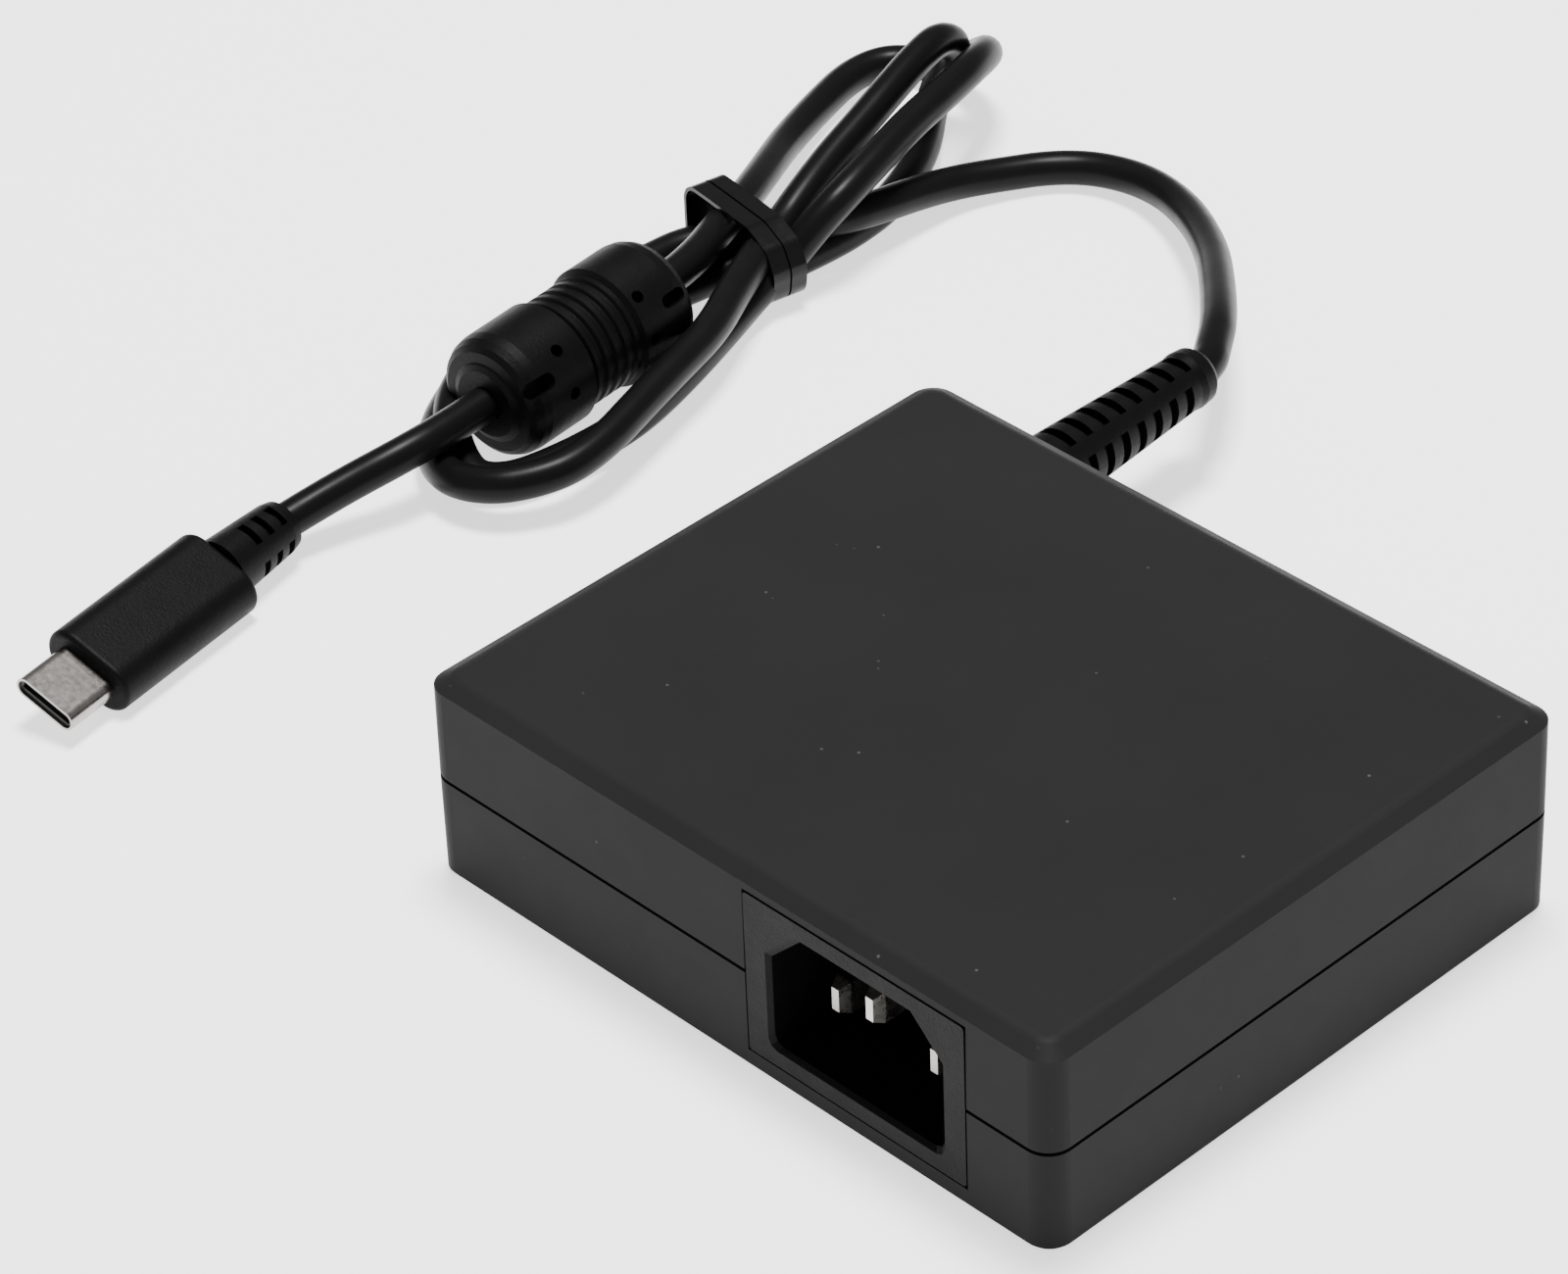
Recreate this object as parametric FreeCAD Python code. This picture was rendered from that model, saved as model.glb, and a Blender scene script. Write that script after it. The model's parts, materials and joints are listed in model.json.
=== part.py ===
import FreeCAD, Part
import math
import os

# Laptop power adapter: a flat two-shell brick with an earthed mains inlet in its front (-Y) face and a
# fixed output cord that leaves its back (+Y) face, carries a ferrite sleeve and ends in a USB-C plug.
# Millimetres. Origin: centre of the brick's underside. +X is the brick's long side, +Z is up.

V = FreeCAD.Vector

# ---- driving dimensions ----
CASE_X = 91.0            # brick length
CASE_Y = 76.8            # brick width
CASE_Z = 25.8            # brick height
CASE_R = 3.0             # vertical corner radius
WALL = 2.2
PARTING_Z = 12.97        # mid-height of the seam between the shells
SEAM = 0.45              # open height of the seam
DRAFT = 0.11             # how far the upper shell narrows on each side
BEVEL_W = 2.0            # sloping band round the top face, measured inwards
BEVEL_H = 1.2            # and downwards
BEVEL_BLEND = 2.0        # radius that blends the band into the top face
BASE_EDGE = 0.6          # rounding under the lower shell

INLET_X = 18.5           # centre of the mains inlet
INLET_Z = 13.1
FLANGE = (31.0, 20.8, 1.2)
CAVITY = (24.2, 15.8, 16.5)
CAVITY_CHAMFER = 4.4
PIN_PITCH = 14.0
PIN = (2.0, 4.0)
LIVE_RECESS = 4.3        # pin tips behind the face
EARTH_RECESS = 2.3
EARTH_RISE = 4.0

CORD_D = 4.4
CORD_R = CORD_D / 2

RELIEF_ROOT = V(-34.8, CASE_Y / 2, 13.0)
RELIEF_LENGTH = 35.0
RELIEF_HEADING = 3.3     # degrees, from +Y towards -X
RELIEF_PITCH = -1.0

PLUG_TIP = V(-94.3, -52.7, 4.3)
PLUG_HEADING = 9.6
PLUG_ROLL = 22.0
SHELL = (8.34, 2.56, 7.0)
PLUG_BODY = (12.0, 6.4, 23.0)
PLUG_RELIEF_LENGTH = 11.2

FERRITE_END = V(-97.7, 16.5, 8.1)    # middle of the end nearer the plug
FERRITE_HEADING = 5.4
FERRITE_PITCH = 0.0
FERRITE_LENGTH = 30.0
FERRITE_R = 7.85

TIE_AT = V(-102.8, 64.4, 0.0)
TIE_TURN = -11.0
TIE_T = 0.5
# outline of the tied bundle across the hank: (sideways, height)
TIE_INSIDE = [(-10.4, 0.6), (5.2, 0.6), (8.4, 2.6), (8.9, 6.0), (7.4, 8.6), (3.5, 9.9), (-5.2, 9.6), (-10.4, 9.3)]
BUNDLE = [(-10.4, 0.6), (5.2, 0.6), (8.4, 2.6), (8.9, 6.0), (7.4, 8.6), (3.5, 9.9), (-5.2, 9.6), (-7.1, 8.0),
          (-10.4, 4.4)]
TIE_CORNER = 2.2

# ---- cord route, chosen by hand ----
ROUTE_BRICK = [
    (-41.6, 81.2, 12.1), (-49.6, 91.2, 9.8), (-58.6, 99.6, 7.0), (-69.1, 106.9, 4.6), (-78.2, 110.1, 3.2),
    (-85.7, 109.1, 2.6), (-90.7, 105.5, 2.4), (-94.2, 99.4, 2.6), (-96.3, 93.8, 3.2), (-96.8, 87.4, 4.4),
    (-97.0, 81.0, 5.6),
]
ROUTE_TO_FERRITE = [(-109.1, 69.3, 6.8), (-106.0, 62.9, 7.8)]
ROUTE_TO_PLUG = [(-97.2, 3.4, 8.0), (-100.2, -5.8, 5.6)]

# the hank: bands as (middle line, half width, height), and outlines of the upper loops
LIMBS = [
    ([(-97.2, 60.5), (-93.4, 51.5), (-89.6, 41.0), (-87.3, 31.5), (-86.4, 22.0)], 3.9, 9.5),
    ([(-86.4, 22.0), (-87.6, 13.6), (-93.0, 9.6), (-100.0, 11.2), (-105.2, 16.6), (-108.0, 23.0)], 4.2, 7.2),
    ([(-108.0, 23.0), (-110.4, 30.0), (-111.2, 38.0), (-111.0, 47.0)], 3.9, 7.2),
    ([(-111.0, 47.0), (-110.4, 53.0), (-108.4, 60.0)], 4.1, 4.6),
    ([(-113.4, 77.0), (-109.4, 69.6)], 2.3, 7.4),
]
LOW_LOOPS = [
    (-111.2, 68.5), (-115.1, 75.7), (-120.4, 84.6), (-124.7, 94.4), (-127.2, 104.0), (-125.2, 111.4),
    (-119.5, 114.6), (-112.8, 115.6), (-105.0, 112.0), (-99.8, 104.5), (-97.6, 97.0), (-96.4, 88.0),
    (-96.4, 77.0), (-96.6, 68.0),
]
HIGH_LOOPS = [
    (-102.5, 67.0), (-103.9, 74.0), (-106.9, 85.5), (-110.0, 98.0), (-112.3, 107.5), (-110.8, 112.6),
    (-105.0, 112.0), (-99.8, 104.5), (-97.6, 97.0), (-96.1, 88.5), (-94.4, 81.0), (-93.2, 74.0),
    (-93.3, 67.5),
]
LOW_TOP = 4.6
ROOF = [(66.0, 10.2), (72.0, 12.4), (82.0, 15.2), (98.0, 17.0)]    # height of the raised loops along Y


def block(x0, y0, z0, x1, y1, z1):
    return Part.makeBox(x1 - x0, y1 - y0, z1 - z0, V(x0, y0, z0))


def upright(x, y, z0, radius, height):
    return Part.makeCylinder(radius, height, V(x, y, z0))


def along(axis, start, radius, length):
    return Part.makeCylinder(radius, length, start, axis)


def ring(x, y, z0, outer, inner, height):
    return upright(x, y, z0, outer, height).cut(upright(x, y, z0, inner, height))


def polygon(points, z):
    corners = [V(x, y, z) for x, y in points]
    return Part.makePolygon(corners + corners[:1])


def prism(points, z0, z1):
    return Part.Face(polygon(points, z0)).extrude(V(0, 0, z1 - z0))


def rounded_wire(size_x, size_y, radius, z, cx=0.0, cy=0.0):
    """A rectangle with rounded corners, in a level plane."""
    hx, hy, k = size_x / 2, size_y / 2, radius * (1 - math.sqrt(0.5))
    edges = []
    corners = [(hx, hy, 1, 1), (-hx, hy, -1, 1), (-hx, -hy, -1, -1), (hx, -hy, 1, -1)]
    arcs = []
    for number, (x, y, sx, sy) in enumerate(corners):
        on_x = V(cx + x - sx * radius, cy + y, z)
        on_y = V(cx + x, cy + y - sy * radius, z)
        middle = V(cx + x - sx * k, cy + y - sy * k, z)
        start, end = (on_y, on_x) if number % 2 == 0 else (on_x, on_y)
        arcs.append((start, middle, end))
    for number, (start, middle, end) in enumerate(arcs):
        edges.append(Part.Arc(start, middle, end).toShape())
        edges.append(Part.LineSegment(end, arcs[(number + 1) % 4][0]).toShape())
    return Part.Wire(edges)


def rounded_block(size_x, size_y, radius, z0, z1, cx=0.0, cy=0.0):
    face = Part.Face(rounded_wire(size_x, size_y, radius, z0, cx, cy))
    return face.extrude(V(0, 0, z1 - z0))


def case_level(inset, z):
    return rounded_wire(CASE_X - 2 * inset, CASE_Y - 2 * inset, CASE_R - min(inset, 1.4), z)


def case_pocket(inset, z0, z1):
    radius = max(CASE_R - inset, 0.8)
    return rounded_block(CASE_X - 2 * inset, CASE_Y - 2 * inset, radius, z0, z1)


def stadium(width, height, y0, y1):
    """A flat-sided round-ended bar along +Y, centred on the Y axis."""
    half = width / 2 - height / 2
    bar = block(-half, y0, -height / 2, half, y1, height / 2)
    for side in (-half, half):
        bar = bar.fuse(along(V(0, 1, 0), V(side, y0, 0), height / 2, y1 - y0))
    return bar.removeSplitter()


def rounded_path(points):
    """Straight runs joined by tangent arcs, each as large as its two runs allow."""
    spots = [V(*p) for p in points]
    edges, radii = [], []
    last = spots[0]
    for before, corner, after in zip(spots, spots[1:], spots[2:]):
        back = (before - corner).normalize()
        ahead = (after - corner).normalize()
        half_turn = (math.pi - back.getAngle(ahead)) / 2
        tangent = 0.45 * min((before - corner).Length, (after - corner).Length)
        radius = tangent / math.tan(half_turn)
        start, end = corner + back * tangent, corner + ahead * tangent
        inward = (back + ahead).normalize()
        middle = corner + inward * (radius / math.cos(half_turn) - radius)
        edges.append(Part.LineSegment(last, start).toShape())
        edges.append(Part.Arc(start, middle, end).toShape())
        radii.append(radius)
        last = end
    edges.append(Part.LineSegment(last, spots[-1]).toShape())
    return Part.Wire(edges), radii


def tube(name, points, radius):
    path, radii = rounded_path(points)
    first = V(*points[1]) - V(*points[0])
    section = Part.Wire(Part.makeCircle(radius, V(*points[0]), first))
    solid = path.makePipeShell([section], True, False)
    expected = math.pi * radius ** 2 * path.Length
    print(name, "length %.1f" % path.Length, "volume ratio %.4f" % (solid.Volume / expected),
          "radii", " ".join("%.0f" % r for r in radii))
    return solid


def turned(heading, pitch=0.0, roll=0.0):
    turn = FreeCAD.Rotation(V(0, 0, 1), heading)
    turn = turn.multiply(FreeCAD.Rotation(V(1, 0, 0), pitch))
    return turn.multiply(FreeCAD.Rotation(V(0, 1, 0), roll))


def placed(shape, origin, heading, pitch=0.0, roll=0.0):
    """Turns a piece modelled along +Y from the origin to where it lies."""
    copy = shape.copy()
    copy.Placement = FreeCAD.Placement(origin, turned(heading, pitch, roll))
    return copy


def onward(origin, heading, pitch, distance, side=0.0):
    """A point that far along a placed piece's axis."""
    return origin + turned(heading, pitch).multVec(V(side, distance, 0))


def turned_profile(points):
    """A solid of revolution about the Y axis from (y, radius) points."""
    corners = [V(r, y, 0) for y, r in points]
    outline = Part.makePolygon(corners + corners[:1])
    return Part.Face(outline).revolve(V(0, 0, 0), V(0, 1, 0), 360)


def slot_cutter(y, width, inner, outer, middle_angle, span):
    """A sector of a disc, for a slot that runs part of the way round a sleeve."""
    disc = along(V(0, 1, 0), V(0, y - width / 2, 0), outer, width)
    disc = disc.cut(along(V(0, 1, 0), V(0, y - width / 2, 0), inner, width))
    reach = 2 * outer
    low, high = (math.radians(middle_angle + s * span / 2) for s in (-1, 1))
    corners = [V(0, y - width, 0)]
    for angle in (low, high):
        corners.append(V(reach * math.cos(angle), y - width, reach * math.sin(angle)))
    wedge = Part.Face(Part.makePolygon(corners + corners[:1])).extrude(V(0, 2 * width, 0))
    return disc.common(wedge)


# ---- case ----
def outer_body():
    bevel_z = CASE_Z - BEVEL_H
    base = Part.makeLoft([case_level(BASE_EDGE, 0), case_level(0, BASE_EDGE)], True, True)
    side = Part.makeLoft([case_level(0, BASE_EDGE), case_level(0, PARTING_Z)], True, True)
    rise = Part.makeLoft([case_level(0, PARTING_Z), case_level(DRAFT, bevel_z)], True, True)
    top = Part.makeLoft([case_level(DRAFT, bevel_z), case_level(DRAFT + BEVEL_W, CASE_Z)], True, True)
    upper = rise.fuse(top).removeSplitter()
    rim = [e for e in upper.Edges if min(v.Z for v in e.Vertexes) > CASE_Z - 0.01]
    return base.fuse(side).removeSplitter(), upper.makeFillet(BEVEL_BLEND, rim)


def face_openings():
    """The inlet's window in the front wall and the cord's hole in the back wall."""
    gap = 0.2
    width, height = FLANGE[0] / 2 + gap, FLANGE[1] / 2 + gap
    window = block(INLET_X - width, -CASE_Y / 2 - 1, INLET_Z - height,
                   INLET_X + width, -CASE_Y / 2 + WALL + 1, INLET_Z + height)
    hole = along(V(0, 1, 0), V(RELIEF_ROOT.x, CASE_Y / 2 - WALL - 1, RELIEF_ROOT.z), 4.3, WALL + 2)
    return window.fuse(hole)


def shells():
    lower, upper = outer_body()
    low_rim, high_rim = PARTING_Z - SEAM / 2, PARTING_Z + SEAM / 2
    lip_top, lip_out, clearance = PARTING_Z + 1.2, 1.2, 0.05
    lower = lower.cut(block(-60, -60, low_rim, 60, 60, 40)).cut(case_pocket(WALL, WALL, 40))
    lip = case_pocket(lip_out, low_rim, lip_top).cut(case_pocket(WALL, 0, 40))
    lower = lower.fuse(lip)
    for x, y in BOARD_POSTS:
        lower = lower.fuse(upright(x, y, WALL, 2.4, BOARD_Z - WALL))
    label_recess = block(-31, -23, -1, 31, 23, 0.2)
    lower = lower.cut(label_recess)
    upper = upper.cut(block(-60, -60, 0, 60, 60, high_rim))
    upper = upper.cut(case_pocket(WALL, 0, CASE_Z - WALL))
    upper = upper.cut(case_pocket(lip_out - clearance, 0, lip_top + clearance))
    openings = face_openings()
    return lower.cut(openings).removeSplitter(), upper.cut(openings).removeSplitter()


# ---- mains inlet ----
def cavity_wire(grow, y):
    """The inlet's mouth: two chamfered corners at the top, two slightly rounded at the bottom."""
    hx, hz = CAVITY[0] / 2 + grow, CAVITY[1] / 2 + grow
    c, r = CAVITY_CHAMFER, 1.2
    outline = [(-hx, hz - c), (-hx + c, hz), (hx - c, hz), (hx, hz - c), (hx, -hz + r),
               (hx - r * 0.3, -hz + r * 0.3), (hx - r, -hz), (-hx + r, -hz),
               (-hx + r * 0.3, -hz + r * 0.3), (-hx, -hz + r)]
    corners = [V(INLET_X + x, y, INLET_Z + z) for x, z in outline]
    return Part.makePolygon(corners + corners[:1])


def pin(x, z, recess):
    """A flat blade with a tapered tip and a solder tab behind the housing."""
    front = -CASE_Y / 2 + recess
    back = -CASE_Y / 2 + CAVITY[2] + 7.0
    hx, hz, taper = PIN[0] / 2, PIN[1] / 2, 1.3
    blade = block(x - hx, front + taper, z - hz, x + hx, back, z + hz)
    ends = []
    for y, scale_x, scale_z in ((front + taper, 1.0, 1.0), (front, 0.5, 0.72)):
        corners = [V(x + sx * hx * scale_x, y, z + sz * hz * scale_z)
                   for sx, sz in ((-1, -1), (1, -1), (1, 1), (-1, 1))]
        ends.append(Part.makePolygon(corners + corners[:1]))
    return blade.fuse(Part.makeLoft(ends, True, True)).removeSplitter()


def inlet():
    face = -CASE_Y / 2
    z_line = INLET_Z - 1.6
    pins = {
        "inlet_live_pin": pin(INLET_X - PIN_PITCH / 2, z_line, LIVE_RECESS),
        "inlet_neutral_pin": pin(INLET_X + PIN_PITCH / 2, z_line, LIVE_RECESS),
        "inlet_earth_pin": pin(INLET_X, z_line + EARTH_RISE, EARTH_RECESS),
    }
    width, height, depth = FLANGE
    flange = block(INLET_X - width / 2, face, INLET_Z - height / 2,
                   INLET_X + width / 2, face + depth, INLET_Z + height / 2)
    flange = flange.makeFillet(0.5, [e for e in flange.Edges if abs(e.Length - depth) < 1e-6])
    body = block(INLET_X - 14.2, face + depth, INLET_Z - 9.4,
                 INLET_X + 14.2, face + CAVITY[2] + 2.6, INLET_Z + 9.4)
    seat = block(INLET_X - 17, face + WALL, WALL + 0.05, INLET_X + 17, face + WALL + 1.6, CASE_Z - WALL)
    housing = flange.fuse(body).fuse(seat)
    lead_in = 0.5
    housing = housing.cut(Part.makeLoft([cavity_wire(lead_in, face), cavity_wire(0, face + lead_in)],
                                        True, True))
    tunnel = Part.Face(cavity_wire(0, face)).extrude(V(0, CAVITY[2], 0))
    housing = housing.cut(tunnel)
    for blade in pins.values():
        housing = housing.cut(blade)
    return {"inlet_housing": housing.removeSplitter(), **pins}


# ---- circuit board and what it carries ----
BOARD_Z = 6.0
BOARD_T = 1.6
TOP = BOARD_Z + BOARD_T
BOARD_POSTS = [(-38, -31), (-38, 31), (38, 31), (38, -9)]


def circuit_board():
    outline = [(-42, -35), (1.5, -35), (1.5, -13), (42, -13), (42, 35), (-42, 35)]
    return prism(outline, BOARD_Z, TOP)


def mains_side():
    parts = {}
    parts["fuse"] = upright(-4.5, -29, TOP, 4.2, 8.0)
    parts["varistor"] = along(V(1, 0, 0), V(-15, -29, TOP + 5.5), 5.5, 4.2)
    parts["inrush_thermistor"] = along(V(1, 0, 0), V(-23, -29, TOP + 4.7), 4.7, 4.0)
    parts["x_capacitor"] = block(-41, -34, TOP, -28.5, -15, TOP + 13.5)
    core = ring(-14, -11.5, TOP + 0.9, 8.6, 5.2, 9.0)
    wound = ring(-14, -11.5, TOP, 9.5, 4.3, 10.8).cut(core)
    gap = block(-14 - 12, -11.5 - 1.6, TOP, -14 + 12, -11.5 + 1.6, TOP + 14)
    parts["common_mode_choke_core"] = core
    parts["common_mode_choke_windings"] = wound.cut(gap)
    discs = [along(V(1, 0, 0), V(-33, y, TOP + 3.8), 3.8, 3.0) for y in (-9.0, -0.5)]
    parts["y_capacitors"] = Part.makeCompound(discs)
    parts["bridge_rectifier"] = block(5, -10.5, TOP, 22, -6.7, TOP + 12)
    parts["bulk_capacitor"] = along(V(1, 0, 0), V(9, 2.5, TOP + 7.0), 7.0, 31)
    return parts


def power_stage():
    parts = {}
    parts["primary_heatsink"] = block(9, 13, TOP, 39, 15, TOP + 13.6)
    parts["primary_switch"] = block(17, 15, TOP, 27, 19.4, TOP + 13)
    core = block(-22, 6, TOP, 5, 26, TOP + 13.8)
    for x in (-18, -4):
        core = core.cut(block(x, 5, TOP + 3.6, x + 5, 27, TOP + 11.0))
    bobbin = block(-13.6, 5.4, TOP + 3.7, -3.4, 26.6, TOP + 10.9)
    bobbin = bobbin.cut(block(-13, 6, TOP, -4, 26, TOP + 20))
    winding = block(-17.8, 2.6, TOP + 3.9, 0.8, 29.4, TOP + 10.7)
    winding = winding.cut(block(-13.6, 5.4, TOP, -3.4, 26.6, TOP + 20))
    parts["transformer_core"] = core
    parts["transformer_bobbin"] = bobbin
    parts["transformer_winding"] = winding
    parts["optocoupler"] = block(9.5, 21, TOP, 14, 27.5, TOP + 3.4)
    parts["controller_board"] = block(18, 26, TOP, 36, 27.2, TOP + 11)
    chips = [block(20.5, 24.6, TOP + 4, 25.5, 26, TOP + 8), block(28.5, 24.8, TOP + 4, 31.5, 26, TOP + 7)]
    parts["controller_chips"] = Part.makeCompound(chips)
    return parts


def output_side():
    parts = {}
    cans = [upright(x, y, TOP, 3.9, 12.0) for x, y in ((-28, 10), (-28, 19), (-37, 12))]
    parts["output_capacitors"] = Part.makeCompound(cans)
    parts["output_choke"] = ring(-36.5, 22.5, TOP, 4.6, 2.0, 5.5)
    parts["output_control_board"] = block(-25, 33.0, TOP, -6, 34.2, TOP + 10)
    parts["output_control_chip"] = block(-18, 31.8, TOP + 3, -13, 33.0, TOP + 8)
    under = [(-30, 14, 5, 6), (-20, 28, 5, 6), (14, -2, 4, 5), (26, 18, 7, 7), (-8, -20, 4, 4)]
    chips = [block(x, y, BOARD_Z - 1.2, x + sx, y + sy, BOARD_Z) for x, y, sx, sy in under]
    parts["underside_chips"] = Part.makeCompound(chips)
    return parts


def sheets_and_spreaders():
    parts = {}
    ceiling = CASE_Z - WALL
    parts["upper_heat_spreader"] = block(-41, -12, ceiling - 0.6, 41, 34, ceiling)
    parts["upper_insulating_sheet"] = block(-42, -13, ceiling - 0.9, 42, 35, ceiling - 0.6)
    parts["lower_heat_spreader"] = block(-34, -12, WALL, 34, 34, WALL + 0.6)
    parts["lower_insulating_sheet"] = block(-35, -13, WALL + 0.6, 35, 35, WALL + 0.9)
    parts["thermal_pad"] = block(-20, 8, TOP + 13.8, 3, 24, ceiling - 0.9)
    parts["rating_label"] = block(-30.5, -22.5, 0.08, 30.5, 22.5, 0.2)
    return parts


def inside_wires():
    """Insulated leads from the inlet's tabs, and from the cord's end, down to the board."""
    tab_y = -CASE_Y / 2 + CAVITY[2] + 7.0
    low_z = INLET_Z - 1.6
    mains = []
    for x, z, foot_x in ((INLET_X - 7, low_z, 10.0), (INLET_X, low_z + EARTH_RISE, 25.5),
                         (INLET_X + 7, low_z, 31.0)):
        foot_y = tab_y + 2.6
        points = [(x, tab_y, z), (x, tab_y + 1.6, z), (foot_x, foot_y, z - 1.6), (foot_x, foot_y, TOP)]
        mains.append(tube("mains wire", points, 0.65))
    output = []
    start = RELIEF_ROOT - V(0, 6.4, 0)
    for offset in (-1.1, 1.1):
        x = start.x + offset
        points = [(x, start.y, start.z), (x, start.y - 2.2, start.z),
                  (x, start.y - 2.8, start.z - 2.6), (x, start.y - 2.8, TOP)]
        output.append(tube("output wire", points, 0.7))
    return {"mains_wires": Part.makeCompound(mains), "output_wires": Part.makeCompound(output)}


# ---- output strain relief ----
def cord_in_relief(radius, extra):
    """The straight cord through the wall, then along the slightly turned sleeve."""
    end = onward(RELIEF_ROOT, RELIEF_HEADING, RELIEF_PITCH, RELIEF_LENGTH + extra)
    run = end - RELIEF_ROOT
    solid = along(run, RELIEF_ROOT, radius, run.Length)
    solid = solid.fuse(along(V(0, -1, 0), RELIEF_ROOT, radius, 6.4 + extra))
    return solid.fuse(Part.makeSphere(radius, RELIEF_ROOT)).removeSplitter()


def output_relief():
    """A tapered sleeve with staggered slots, a domed end collar and a clamped root inside the case."""
    root, tip = 4.75, 3.5
    length = RELIEF_LENGTH
    profile = [(0.4, 0), (0.4, root), (1.4, root + 0.15), (2.4, root), (length - 3.6, tip),
               (length - 2.6, tip + 0.15), (length - 1.0, tip), (length - 0.3, tip - 0.5),
               (length, CORD_R + 0.35), (length, 0)]
    sleeve = turned_profile(profile)
    pitch, width = 3.0, 1.35
    for side in range(4):
        stagger = pitch / 2 if side % 2 else 0.0
        for row in range(10):
            y = 3.6 + stagger + row * pitch
            if y > length - 3.0:
                continue
            outer = root + (tip - root) * y / length
            sleeve = sleeve.cut(slot_cutter(y, width, outer - 1.15, outer + 1, 90 + 90 * side, 62))
    sleeve = placed(sleeve, RELIEF_ROOT, RELIEF_HEADING, RELIEF_PITCH)
    neck = along(V(0, 1, 0), RELIEF_ROOT - V(0, WALL + 0.2, 0), 4.2, WALL + 0.8)
    yoke = block(RELIEF_ROOT.x - 6, CASE_Y / 2 - WALL - 3.2, RELIEF_ROOT.z - 5.2,
                 RELIEF_ROOT.x + 6, CASE_Y / 2 - WALL - 0.2, RELIEF_ROOT.z + 5.2)
    return sleeve.fuse(neck).fuse(yoke).removeSplitter().cut(cord_in_relief(CORD_R + 0.05, 1.0))


# ---- plug ----
def plug():
    shell_w, shell_h, shell_out = SHELL
    body_w, body_h, body_l = PLUG_BODY
    inside = 4.0
    back = shell_out + body_l
    shell = stadium(shell_w, shell_h, 0, shell_out + inside)
    shell = shell.cut(stadium(shell_w - 0.56, shell_h - 0.56, -1, shell_out + inside + 1))
    liner = stadium(shell_w - 0.60, shell_h - 0.60, 0.35, shell_out + inside)
    liner = liner.cut(block(-3.45, -1, -0.42, 3.45, 6.4, 0.42))
    contacts = []
    for number in range(12):
        x = (number - 5.5) * 0.5
        for z in (-0.62, 0.42):
            contacts.append(block(x - 0.13, 0.9, z, x + 0.13, 6.4, z + 0.2))
    contacts = Part.makeCompound(contacts)
    liner = liner.cut(contacts)
    board = block(-3.6, shell_out + inside, -0.4, 3.6, shell_out + inside + 9, 0.4)
    body = stadium(body_w, body_h, shell_out, back)
    ends = [e for e in body.Edges if len({round(v.Y, 3) for v in e.Vertexes}) == 1]
    body = body.makeFillet(0.7, ends)
    for piece in (stadium(shell_w, shell_h, 0, shell_out + inside), board):
        body = body.cut(piece)
    sleeve = turned_profile([(back, 0), (back, 3.9), (back + PLUG_RELIEF_LENGTH - 1.6, 3.35),
                             (back + PLUG_RELIEF_LENGTH - 0.4, 3.1),
                             (back + PLUG_RELIEF_LENGTH, 2.5), (back + PLUG_RELIEF_LENGTH, 0)])
    for side in range(4):
        for row in range(3):
            y = back + 4.2 + row * 2.3
            sleeve = sleeve.cut(slot_cutter(y, 1.05, 2.5, 5, 90 + 90 * side, 52))
    pieces = {"plug_shell": shell, "plug_liner": liner, "plug_contacts": contacts,
              "plug_circuit_board": board, "plug_body": body, "plug_strain_relief": sleeve}
    return {name: placed(shape, PLUG_TIP, PLUG_HEADING, 0, PLUG_ROLL)
            for name, shape in pieces.items()}


# ---- ferrite sleeve ----
def ferrite():
    """A moulded cover round a ferrite core: domed ends, a grooved waist, dimples and end slots."""
    length, radius = FERRITE_LENGTH, FERRITE_R
    waist = radius - 0.6
    nose = [(0.0, 4.3), (0.3, 5.0), (0.5, 5.2), (0.6, 6.5), (1.1, 7.2), (2.0, 7.65), (3.2, radius)]
    profile = [(0, 0)] + nose + [(10.9, radius)]
    for number in range(5):
        y = 11.2 + number * 1.75
        profile += [(y, waist - 0.35), (y + 0.45, waist - 0.35), (y + 0.7, waist), (y + 1.4, waist)]
    profile += [(20.1, radius)]
    profile += [(length - y, r) for y, r in reversed(nose)] + [(length, 0)]
    cover = turned_profile(profile)
    core = along(V(0, 1, 0), V(0, 4.0, 0), 5.4, length - 8.0)
    bore = along(V(0, 1, 0), V(0, -1, 0), CORD_R + 0.03, length + 2)
    cover = cover.cut(core).cut(bore)
    for angle in (6, 48, 186, 228):
        spoke = V(math.cos(math.radians(angle)), 0, math.sin(math.radians(angle)))
        for y in (7.2, 21.5):
            cover = cover.cut(along(spoke, spoke * (radius - 1.2) + V(0, y, 0), 0.8, 3))
    for angle in (30, 210):
        spoke = V(math.cos(math.radians(angle)), 0, math.sin(math.radians(angle)))
        for y0, y1, slot_r in ((0.6, 4.9, 1.05), (24.2, 28.0, 0.85)):
            floor = spoke * (radius - 1.7)
            slot = along(spoke, floor + V(0, y0 + slot_r, 0), slot_r, 4)
            slot = slot.fuse(along(spoke, floor + V(0, y1 - slot_r, 0), slot_r, 4))
            side = V(-spoke.z, 0, spoke.x)
            corners = [floor + side * (slot_r * a) + V(0, y, 0)
                       for a, y in ((-1, y0 + slot_r), (1, y0 + slot_r), (1, y1 - slot_r), (-1, y1 - slot_r))]
            middle = Part.Face(Part.makePolygon(corners + corners[:1])).extrude(spoke * 4)
            cover = cover.cut(slot.fuse(middle))
    core = core.cut(along(V(0, 1, 0), V(0, 3, 0), CORD_R + 0.35, length - 6.0))
    return cover, core


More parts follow.
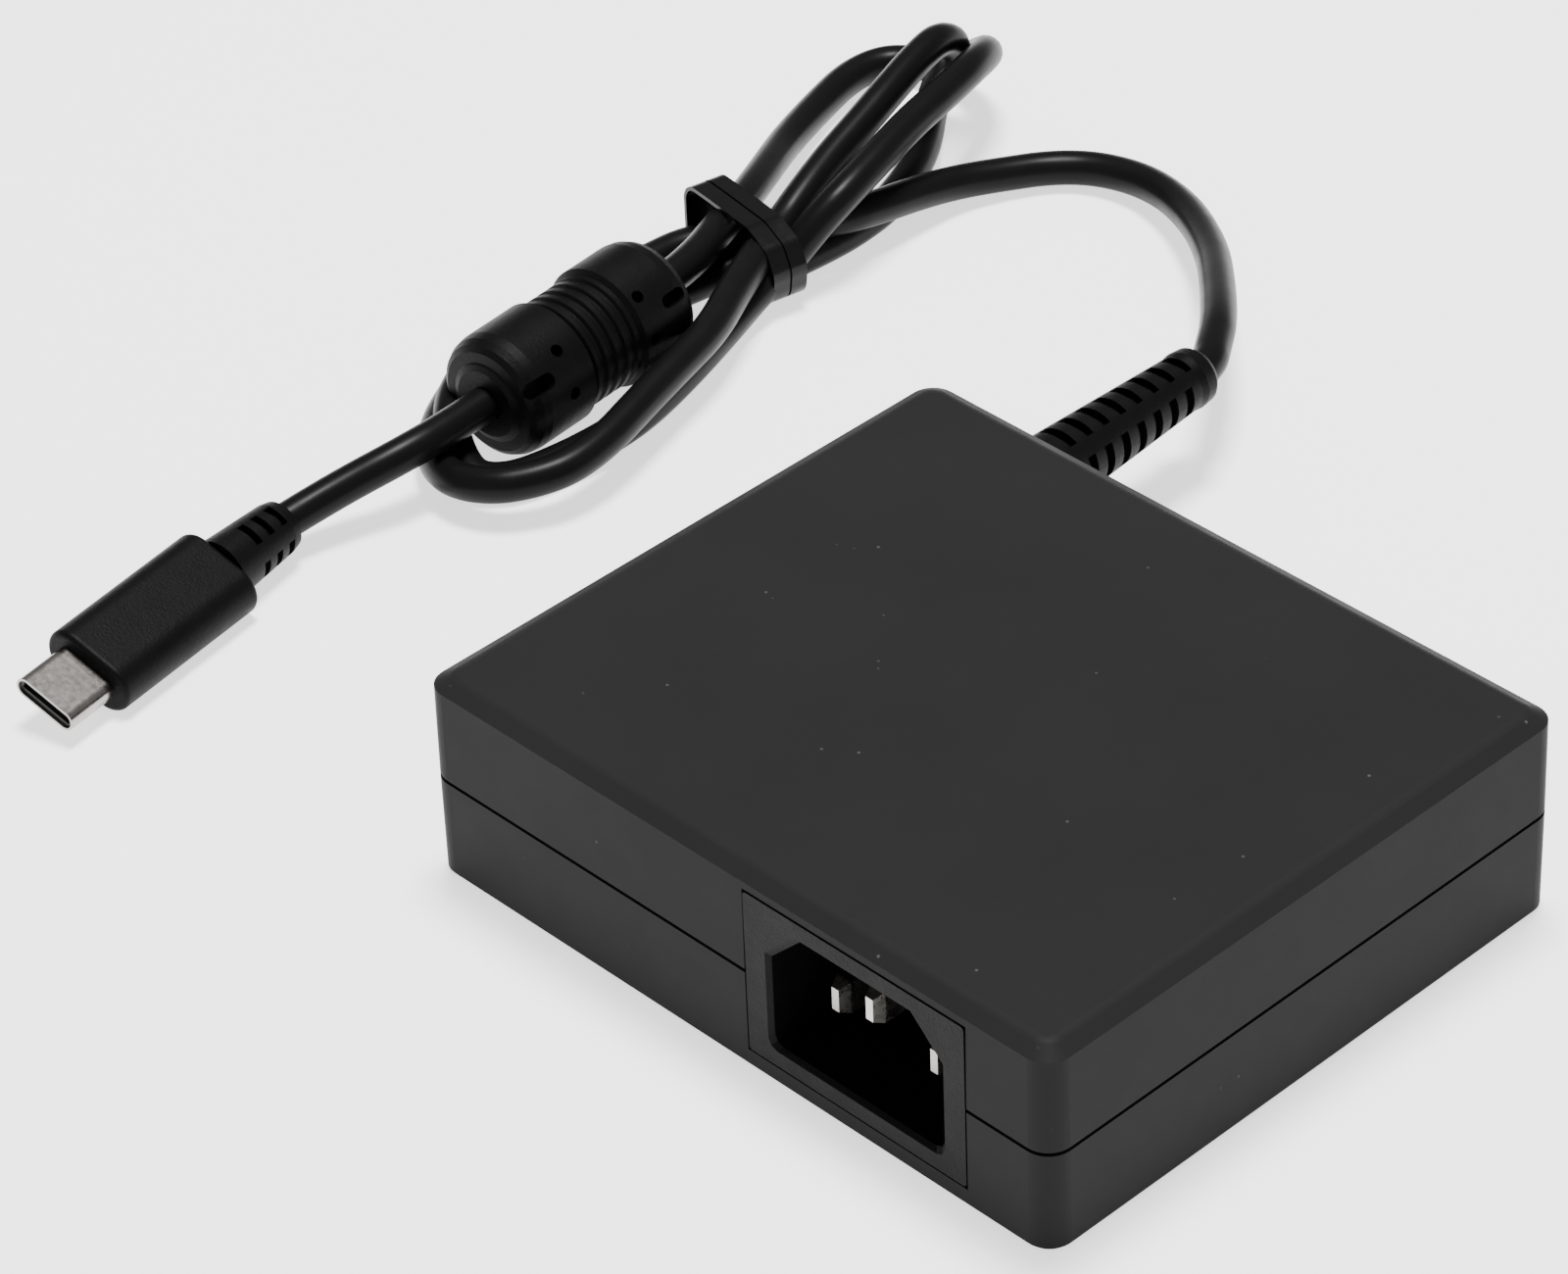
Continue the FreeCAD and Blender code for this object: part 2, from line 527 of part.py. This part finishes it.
# ---- hank and tie ----
def band(points, half_width, z0, z1):
    """A level band of one height that follows a middle line, with round ends."""
    solid = None
    for (xa, ya), (xb, yb) in zip(points, points[1:]):
        run = math.hypot(xb - xa, yb - ya)
        nx, ny = -(yb - ya) / run * half_width, (xb - xa) / run * half_width
        leg = prism([(xa + nx, ya + ny), (xb + nx, yb + ny), (xb - nx, yb - ny), (xa - nx, ya - ny)], z0, z1)
        leg = leg.fuse(upright(xa, ya, z0, half_width, z1 - z0))
        leg = leg.fuse(upright(xb, yb, z0, half_width, z1 - z0))
        solid = leg if solid is None else solid.fuse(leg)
    return solid


def across(outline, grow, y0, y1):
    """An outline across the hank, grown all round and drawn out along the hank."""
    wire = Part.makePolygon([V(x, y0, z) for x, z in outline + outline[:1]])
    wire = wire.makeOffset2D(-TIE_CORNER, 0).makeOffset2D(TIE_CORNER + grow, 0)
    return Part.Face(wire).extrude(V(0, y1 - y0, 0))


def hank():
    solid = prism(LOW_LOOPS, 0.1, LOW_TOP)
    for line, half_width, top in LIMBS:
        solid = solid.fuse(band(line, half_width, 0.1, top))
    upper = prism(HIGH_LOOPS, 0.1, 20.0)
    above = [V(-140, ROOF[0][0], 30)] + [V(-140, y, z) for y, z in ROOF]
    above += [V(-140, 130, ROOF[-1][1]), V(-140, 130, 30)]
    upper = upper.cut(Part.Face(Part.makePolygon(above + above[:1])).extrude(V(60, 0, 0)))
    neck = placed(across(BUNDLE, 0, -4.4, 4.4), TIE_AT, TIE_TURN)
    clear = placed(across(TIE_INSIDE, 6, -3.0, 2.9), TIE_AT, TIE_TURN).cut(neck)
    solid = solid.fuse(upper).fuse(neck).cut(clear)
    beside_ferrite = along(V(0, 1, 0), V(0, 0, 0), FERRITE_R + 0.15, FERRITE_LENGTH)
    solid = solid.cut(placed(beside_ferrite, FERRITE_END, FERRITE_HEADING, FERRITE_PITCH))
    return solid.removeSplitter()


def cable_tie():
    """A flat tie wrapped twice round the bundle, the wraps joined by a thin web between them."""
    solid = None
    for y0, y1, grow in ((-2.45, -0.15, TIE_T), (0.15, 2.35, TIE_T), (-0.15, 0.15, TIE_T * 0.5)):
        turn = across(TIE_INSIDE, grow, y0, y1).cut(across(TIE_INSIDE, 0, y0 - 1, y1 + 1))
        solid = turn if solid is None else solid.fuse(turn)
    return placed(solid.removeSplitter(), TIE_AT, TIE_TURN)


# ---- everything together ----
def build():
    nodes = {}
    nodes["lower_case"], nodes["upper_case"] = shells()
    nodes.update(inlet())
    nodes["circuit_board"] = circuit_board()
    for group in (mains_side(), power_stage(), output_side(), sheets_and_spreaders(), inside_wires()):
        nodes.update(group)
    nodes["output_strain_relief"] = output_relief()
    nodes.update(plug())
    bundle = hank()
    nodes["cord_hank"] = bundle
    nodes["cable_tie"] = cable_tie()

    cover, core = ferrite()
    nodes["ferrite_cover"] = placed(cover, FERRITE_END, FERRITE_HEADING, FERRITE_PITCH)
    nodes["ferrite_core"] = placed(core, FERRITE_END, FERRITE_HEADING, FERRITE_PITCH)

    relief_end = onward(RELIEF_ROOT, RELIEF_HEADING, RELIEF_PITCH, RELIEF_LENGTH)
    nodes["output_cord_inside_relief"] = cord_in_relief(CORD_R, 0)
    start = relief_end
    straight_on = onward(RELIEF_ROOT, RELIEF_HEADING, RELIEF_PITCH, RELIEF_LENGTH + 4.0)
    lead = tube("cord from brick", [tuple(start), tuple(straight_on)] + ROUTE_BRICK, CORD_R)
    nodes["output_cord_brick_end"] = lead.cut(bundle)
    # through the ferrite the cord runs straight but for a hundredth of a millimetre
    steps = [(FERRITE_LENGTH + 4.5, 0), (FERRITE_LENGTH * 0.66, 0.01), (FERRITE_LENGTH * 0.33, 0), (-4.5, 0)]
    inside = [tuple(onward(FERRITE_END, FERRITE_HEADING, FERRITE_PITCH, y, x)) for y, x in steps]
    plug_entry = onward(PLUG_TIP, PLUG_HEADING, 0, SHELL[2] + PLUG_BODY[2] + PLUG_RELIEF_LENGTH - 0.8)
    route = ROUTE_TO_FERRITE + inside + ROUTE_TO_PLUG + [tuple(plug_entry)]
    tail = tube("cord to plug", route, CORD_R).cut(bundle).cut(nodes["plug_strain_relief"])
    tail = tail.cut(nodes["cable_tie"])
    nodes["output_cord_plug_end"] = max(tail.Solids, key=lambda s: s.Volume)
    return nodes


def main():
    os.makedirs("parts", exist_ok=True)
    for name, shape in build().items():
        if not shape.isValid():
            print("not valid:", name)
        box = shape.BoundBox
        print("%-28s solids %d  %.1f..%.1f  %.1f..%.1f  %.2f..%.2f" % (
            name, len(shape.Solids), box.XMin, box.XMax, box.YMin, box.YMax, box.ZMin, box.ZMax))
        shape.exportStep("parts/" + name + ".step")


main()
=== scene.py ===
import json
import math

import bpy
from mathutils import Matrix, Vector

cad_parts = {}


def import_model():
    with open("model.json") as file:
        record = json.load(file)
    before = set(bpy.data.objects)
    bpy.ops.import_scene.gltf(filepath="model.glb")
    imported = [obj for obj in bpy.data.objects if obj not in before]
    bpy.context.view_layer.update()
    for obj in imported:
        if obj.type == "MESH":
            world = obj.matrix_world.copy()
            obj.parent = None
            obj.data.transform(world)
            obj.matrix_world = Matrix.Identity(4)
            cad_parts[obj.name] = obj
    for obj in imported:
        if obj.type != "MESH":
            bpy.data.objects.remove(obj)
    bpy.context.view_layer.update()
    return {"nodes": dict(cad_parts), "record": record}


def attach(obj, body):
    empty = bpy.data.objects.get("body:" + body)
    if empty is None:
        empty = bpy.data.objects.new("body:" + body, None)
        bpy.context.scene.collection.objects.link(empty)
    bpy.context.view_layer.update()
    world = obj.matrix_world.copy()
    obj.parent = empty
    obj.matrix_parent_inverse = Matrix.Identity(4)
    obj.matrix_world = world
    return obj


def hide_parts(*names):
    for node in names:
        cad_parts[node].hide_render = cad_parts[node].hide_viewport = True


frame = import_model()
NODES = frame["nodes"]
ROOT = "root"


# ---- materials ------------------------------------------------------------------------------
# Scales are in cycles per metre and bump depths in metres.
MOTTLE_SCALE = 45.0
SPECK_SCALE = 420.0
SPECK_RADIUS = 0.10
SPECK_PATCH_SCALE = 150.0
SPECK_GREY = 0.20
SHEEN_SCALE = 300.0
DIMPLE_SCALE = 260.0
METAL_BUMP = 0.0000015
METAL_SHADE = 0.8
FINE_BUMP = 0.00002


class Shader:
    """A small helper that adds and joins shader nodes."""

    def __init__(self, name):
        self.mat = bpy.data.materials.new(name)
        self.mat.use_nodes = True
        self.tree = self.mat.node_tree
        self.bsdf = self.tree.nodes["Principled BSDF"]
        self.coords = self.add("ShaderNodeTexCoord").outputs["Object"]

    def add(self, kind, **settings):
        node = self.tree.nodes.new(kind)
        for key, value in settings.items():
            setattr(node, key, value)
        return node

    def link(self, a, b):
        self.tree.links.new(a, b)

    def noise(self, scale, detail=4.0, roughness=0.55):
        node = self.add("ShaderNodeTexNoise")
        node.inputs["Scale"].default_value = scale
        node.inputs["Detail"].default_value = detail
        node.inputs["Roughness"].default_value = roughness
        self.link(self.coords, node.inputs["Vector"])
        return node.outputs["Fac"]

    def ramp(self, value, stops):
        node = self.add("ShaderNodeValToRGB")
        elements = node.color_ramp.elements
        while len(elements) < len(stops):
            elements.new(0.5)
        for element, (place, colour) in zip(elements, stops):
            element.position = place
            element.color = (*colour, 1.0) if isinstance(colour, tuple) else (colour,) * 3 + (1.0,)
        self.link(value, node.inputs["Fac"])
        return node.outputs["Color"]

    def mix(self, factor, a, b):
        node = self.add("ShaderNodeMix", data_type="RGBA")
        self.feed(factor, node.inputs[0])
        self.feed(a, node.inputs[6])
        self.feed(b, node.inputs[7])
        return node.outputs[2]

    def feed(self, value, socket):
        if isinstance(value, bpy.types.NodeSocket):
            self.link(value, socket)
        elif isinstance(value, tuple):
            socket.default_value = (*value, 1.0)
        elif socket.type == "RGBA":
            socket.default_value = (value, value, value, 1.0)
        else:
            socket.default_value = value

    def bump(self, height, distance, strength=1.0, below=None):
        node = self.add("ShaderNodeBump")
        node.inputs["Strength"].default_value = strength
        node.inputs["Distance"].default_value = distance
        self.link(height, node.inputs["Height"])
        if below is not None:
            self.link(below, node.inputs["Normal"])
        return node.outputs["Normal"]


def moulded(name, dark, light, rough, grain, depth, specks, specular):
    """Black moulded plastic: slight mottling, fine grain and, if asked, sparse dust."""
    s = Shader(name)
    colour = s.ramp(s.noise(MOTTLE_SCALE, 5.0), [(0.3, dark), (0.7, light)])
    if specks:
        cells = s.add("ShaderNodeTexVoronoi", feature="F1")
        cells.inputs["Scale"].default_value = SPECK_SCALE
        s.link(s.coords, cells.inputs["Vector"])
        dot = s.ramp(cells.outputs["Distance"], [(0.0, 1.0), (SPECK_RADIUS, 0.0)])
        chance = s.ramp(s.noise(SPECK_PATCH_SCALE, 1.0), [(0.62, 0.0), (0.70, specks)])
        colour = s.mix(s.mix(dot, 0.0, chance), colour, (SPECK_GREY,) * 3)
    s.link(colour, s.bsdf.inputs["Base Color"])
    s.link(s.ramp(s.noise(SHEEN_SCALE, 3.0), [(0.3, rough[0]), (0.7, rough[1])]), s.bsdf.inputs["Roughness"])
    fine = s.bump(s.noise(grain, 3.0, 0.7), depth)
    s.link(s.bump(s.noise(DIMPLE_SCALE, 3.0), depth * 1.5, 0.6, fine), s.bsdf.inputs["Normal"])
    s.bsdf.inputs["Specular IOR Level"].default_value = specular
    return s.mat


def metal(name, colour, rough, grain):
    """Bare sheet metal with a slightly uneven shade and sheen."""
    s = Shader(name)
    shade = tuple(c * METAL_SHADE for c in colour)
    tint = s.ramp(s.noise(SHEEN_SCALE, 4.0), [(0.3, shade), (0.7, colour)])
    s.link(tint, s.bsdf.inputs["Base Color"])
    s.link(s.ramp(s.noise(grain, 4.0), [(0.3, rough[0]), (0.7, rough[1])]), s.bsdf.inputs["Roughness"])
    s.link(s.bump(s.noise(grain, 3.0), METAL_BUMP), s.bsdf.inputs["Normal"])
    s.bsdf.inputs["Metallic"].default_value = 1.0
    return s.mat


def coloured(name, dark, light, rough, scale, metallic=0.0):
    """A piece inside the case: two close shades with a fine bump."""
    s = Shader(name)
    s.link(s.ramp(s.noise(scale), [(0.35, dark), (0.65, light)]), s.bsdf.inputs["Base Color"])
    s.link(s.bump(s.noise(scale * 9), FINE_BUMP), s.bsdf.inputs["Normal"])
    s.link(s.ramp(s.noise(scale * 3), [(0.3, rough * 0.85), (0.7, rough * 1.15)]), s.bsdf.inputs["Roughness"])
    s.bsdf.inputs["Metallic"].default_value = metallic
    return s.mat


MATERIALS = {
    "case_plastic": moulded("case_plastic", dark=0.0150, light=0.0163, rough=(0.46, 0.50),
                            grain=3200.0, depth=0.000006, specks=0.5, specular=0.03),
    "moulding_plastic": moulded("moulding_plastic", dark=0.0026, light=0.0038, rough=(0.40, 0.48),
                                grain=3000.0, depth=0.00005, specks=0.0, specular=0.06),
    "cord_jacket": moulded("cord_jacket", dark=0.0040, light=0.0050, rough=(0.32, 0.38),
                           grain=900.0, depth=0.000008, specks=0.0, specular=0.08),
    "tie_plastic": moulded("tie_plastic", dark=0.0035, light=0.0045, rough=(0.20, 0.27),
                           grain=700.0, depth=0.00002, specks=0.0, specular=0.14),
    "shell_metal": metal("shell_metal", (0.36, 0.34, 0.32), (0.20, 0.26), 1500.0),
    "pin_metal": metal("pin_metal", (0.50, 0.48, 0.45), (0.24, 0.32), 900.0),
    "board_laminate": coloured("board_laminate", (0.02, 0.12, 0.05), (0.03, 0.17, 0.07), 0.4, 120.0),
    "chip_plastic": coloured("chip_plastic", (0.010,) * 3, (0.018,) * 3, 0.5, 300.0),
    "component_plastic": coloured("component_plastic", (0.55, 0.46, 0.12), (0.63, 0.54, 0.18), 0.4, 90.0),
    "heatsink_metal": coloured("heatsink_metal", (0.62,) * 3, (0.74,) * 3, 0.35, 200.0, 1.0),
    "ferrite_ceramic": coloured("ferrite_ceramic", (0.02,) * 3, (0.035, 0.034, 0.036), 0.55, 260.0),
    "copper_winding": coloured("copper_winding", (0.55, 0.22, 0.09), (0.68, 0.30, 0.13), 0.3, 350.0, 1.0),
    "sheet_insulator": coloured("sheet_insulator", (0.56, 0.5, 0.33), (0.62, 0.56, 0.4), 0.4, 60.0),
    "wire_insulation": coloured("wire_insulation", (0.35, 0.02, 0.015), (0.42, 0.03, 0.02), 0.35, 200.0),
    "label_film": coloured("label_film", (0.36,) * 3, (0.42,) * 3, 0.35, 80.0),
    "pad_elastomer": coloured("pad_elastomer", (0.24, 0.28, 0.33), (0.3, 0.34, 0.39), 0.6, 150.0),
}


def dress(obj, slot):
    """Gives the piece the material of its slot."""
    obj.data.materials.clear()
    obj.data.materials.append(MATERIALS[slot])
    return obj


for part in frame["record"]["subparts"]:
    dress(NODES[part["node"]], part["material_slot"])

# ---- the cord -------------------------------------------------------------------------------
# One curve, in the order in which the cord runs. Each list ends at the tie, but for the last.
CORD_D = 0.0044
# from the strain relief
LEAD = [
    (-0.0368, 0.0734, 0.0124), (-0.0371, 0.0753, 0.0124), (-0.0390, 0.0781, 0.0123),
    (-0.0424, 0.0829, 0.0119), (-0.0496, 0.0907, 0.0098), (-0.0586, 0.0996, 0.0070),
    (-0.0691, 0.1069, 0.0046), (-0.0782, 0.1101, 0.0032), (-0.0857, 0.1091, 0.0026),
    (-0.0907, 0.1055, 0.0024), (-0.0942, 0.0994, 0.0026), (-0.0963, 0.0938, 0.0032),
    (-0.0968, 0.0874, 0.0044), (-0.0967, 0.0809, 0.0056), (-0.0972, 0.0754, 0.0065),
]
# round the ferrite sleeve on the outside
OUTER_LOOP = [
    (-0.1028, 0.0714, 0.0044), (-0.1082, 0.0676, 0.0026), (-0.1121, 0.0624, 0.0023),
    (-0.1126, 0.0553, 0.0023), (-0.1130, 0.0459, 0.0023), (-0.1126, 0.0364, 0.0023),
    (-0.1112, 0.0276, 0.0023), (-0.1081, 0.0202, 0.0023), (-0.1048, 0.0147, 0.0024),
    (-0.0996, 0.0094, 0.0032), (-0.0933, 0.0069, 0.0043), (-0.0881, 0.0086, 0.0050),
    (-0.0852, 0.0123, 0.0054), (-0.0834, 0.0167, 0.0059), (-0.0838, 0.0230, 0.0064),
    (-0.0859, 0.0305, 0.0069), (-0.0880, 0.0382, 0.0072), (-0.0903, 0.0461, 0.0073),
    (-0.0943, 0.0537, 0.0074), (-0.0978, 0.0605, 0.0072),
]
# the raised loop at the far end, and back along the floor
MIDDLE_LOOP = [
    (-0.1003, 0.0673, 0.0074), (-0.1014, 0.0725, 0.0094), (-0.1030, 0.0788, 0.0109),
    (-0.1042, 0.0854, 0.0124), (-0.1055, 0.0917, 0.0138), (-0.1071, 0.0979, 0.0147),
    (-0.1084, 0.1034, 0.0149), (-0.1093, 0.1075, 0.0120), (-0.1112, 0.1068, 0.0068),
    (-0.1114, 0.1047, 0.0030), (-0.1071, 0.0995, 0.0023), (-0.1034, 0.0938, 0.0023),
    (-0.0999, 0.0854, 0.0023), (-0.0989, 0.0787, 0.0023), (-0.0990, 0.0732, 0.0023),
    (-0.0995, 0.0666, 0.0024),
]
# round and under the ferrite sleeve, inside the outer loop
INNER_LOOP = [
    (-0.1041, 0.0614, 0.0024), (-0.1046, 0.0552, 0.0023), (-0.1062, 0.0492, 0.0028),
    (-0.1092, 0.0432, 0.0044), (-0.1096, 0.0365, 0.0052), (-0.1086, 0.0275, 0.0052),
    (-0.1068, 0.0200, 0.0050), (-0.1022, 0.0145, 0.0044), (-0.0982, 0.0122, 0.0030),
    (-0.0936, 0.0107, 0.0023), (-0.0903, 0.0133, 0.0023), (-0.0890, 0.0191, 0.0023),
    (-0.0885, 0.0255, 0.0023), (-0.0888, 0.0321, 0.0023), (-0.0909, 0.0405, 0.0023),
    (-0.0942, 0.0510, 0.0025), (-0.0965, 0.0594, 0.0036),
]
# the raised loop beside the middle one, and back on the far side of it
HIGH_LOOP = [
    (-0.0966, 0.0652, 0.0058), (-0.0958, 0.0694, 0.0092), (-0.0954, 0.0735, 0.0114),
    (-0.0967, 0.0806, 0.0126), (-0.0987, 0.0882, 0.0133), (-0.1003, 0.0963, 0.0136),
    (-0.1024, 0.1036, 0.0134), (-0.1065, 0.1106, 0.0108), (-0.1130, 0.1136, 0.0054),
    (-0.1188, 0.1123, 0.0026), (-0.1241, 0.1101, 0.0023), (-0.1252, 0.1041, 0.0023),
    (-0.1226, 0.0952, 0.0023), (-0.1185, 0.0856, 0.0033), (-0.1132, 0.0768, 0.0052),
]
# through the ferrite sleeve to the plug
TO_PLUG = [
    (-0.1090, 0.0693, 0.0066), (-0.1060, 0.0629, 0.0074), (-0.1018, 0.0536, 0.0081),
    (-0.1003, 0.0416, 0.0081), (-0.0989, 0.0275, 0.0081), (-0.0972, 0.0106, 0.0081),
    (-0.0972, 0.0034, 0.0080), (-0.1002, -0.0058, 0.0056), (-0.1012, -0.0126, 0.0043),
]


def cord_curve(name, points, radius):
    """One open NURBS spline that follows the points, as a round tube."""
    curve = bpy.data.curves.new(name, "CURVE")
    curve.dimensions = "3D"
    curve.bevel_depth = radius
    curve.bevel_resolution = 7
    curve.resolution_u = 14
    curve.use_fill_caps = True
    spline = curve.splines.new("NURBS")
    spline.points.add(len(points) - 1)
    for spot, point in zip(spline.points, points):
        spot.co = (*point, 1.0)
    spline.order_u = 3
    spline.use_endpoint_u = True
    obj = bpy.data.objects.new(name, curve)
    bpy.context.scene.collection.objects.link(obj)
    return obj


ROUTE = LEAD + OUTER_LOOP + MIDDLE_LOOP + INNER_LOOP + HIGH_LOOP + TO_PLUG
cord = cord_curve("output_cord_laid", ROUTE, CORD_D / 2)
dress(cord, "cord_jacket")
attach(cord, ROOT)
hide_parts("output_cord_brick_end", "cord_hank", "output_cord_plug_end")

# ---- floor, light and camera ----------------------------------------------------------------
FLOOR_HALF = 3.0
FLOOR_GLOW = 1.5
CENTRE = (0, 0, 0.01)
LENS_MM = 137.15
CAMERA_PLACE = (0.34795, -0.35240, 0.40233)
CAMERA_AHEAD = (-0.58698, 0.54665, -0.59718)
CAMERA_ROLL = math.radians(-2.434)


def floor_material():
    """Pale and matt, with a little light of its own."""
    s = Shader("studio_floor")
    s.link(s.ramp(s.noise(3.0), [(0.3, 0.90), (0.7, 0.92)]), s.bsdf.inputs["Base Color"])
    s.link(s.bump(s.noise(60.0), FINE_BUMP), s.bsdf.inputs["Normal"])
    s.bsdf.inputs["Roughness"].default_value = 0.7
    s.bsdf.inputs["Emission Color"].default_value = (1.0, 1.0, 1.0, 1.0)
    s.bsdf.inputs["Emission Strength"].default_value = FLOOR_GLOW
    return s.mat


def floor():
    mesh = bpy.data.meshes.new("floor")
    corners = [(x * FLOOR_HALF, y * FLOOR_HALF, 0) for x, y in ((-1, -1), (1, -1), (1, 1), (-1, 1))]
    mesh.from_pydata(corners, [], [(0, 1, 2, 3)])
    obj = bpy.data.objects.new("floor", mesh)
    bpy.context.scene.collection.objects.link(obj)
    mesh.materials.append(floor_material())


def softbox(name, place, aim, size, power):
    light = bpy.data.lights.new(name, "AREA")
    light.shape = "RECTANGLE"
    light.size, light.size_y = size
    light.energy = power
    obj = bpy.data.objects.new(name, light)
    obj.location = place
    obj.rotation_euler = (Vector(aim) - Vector(place)).to_track_quat("-Z", "Y").to_euler()
    bpy.context.scene.collection.objects.link(obj)


def camera():
    data = bpy.data.cameras.new("view")
    data.sensor_fit = "HORIZONTAL"
    data.sensor_width = 36.0
    data.lens = LENS_MM
    data.clip_start = 0.05
    data.clip_end = 20.0
    ahead = Vector(CAMERA_AHEAD).normalized()
    level = ahead.cross(Vector((0, 0, 1))).normalized()
    right = level * math.cos(CAMERA_ROLL) + level.cross(ahead) * math.sin(CAMERA_ROLL)
    up = right.cross(ahead)
    turn = Matrix((right, up, -ahead)).transposed().to_4x4()
    obj = bpy.data.objects.new("view", data)
    obj.matrix_world = Matrix.Translation(CAMERA_PLACE) @ turn
    bpy.context.scene.collection.objects.link(obj)
    bpy.context.scene.camera = obj


def world(colour, strength):
    data = bpy.data.worlds.new("studio")
    data.use_nodes = True
    background = data.node_tree.nodes["Background"]
    background.inputs["Color"].default_value = (*colour, 1.0)
    background.inputs["Strength"].default_value = strength
    bpy.context.scene.world = data


floor()
softbox("key", (-0.1, 0.15, 1.1), (-0.03, 0.03, 0), (0.3, 0.3), 26.0)
softbox("side", (0.9, 0.2, 0.5), CENTRE, (0.6, 0.6), 0.2)
softbox("front", (-0.2, -0.9, 0.5), CENTRE, (0.7, 0.5), 0.2)
world((1.0, 1.0, 1.0), 0.3)
camera()
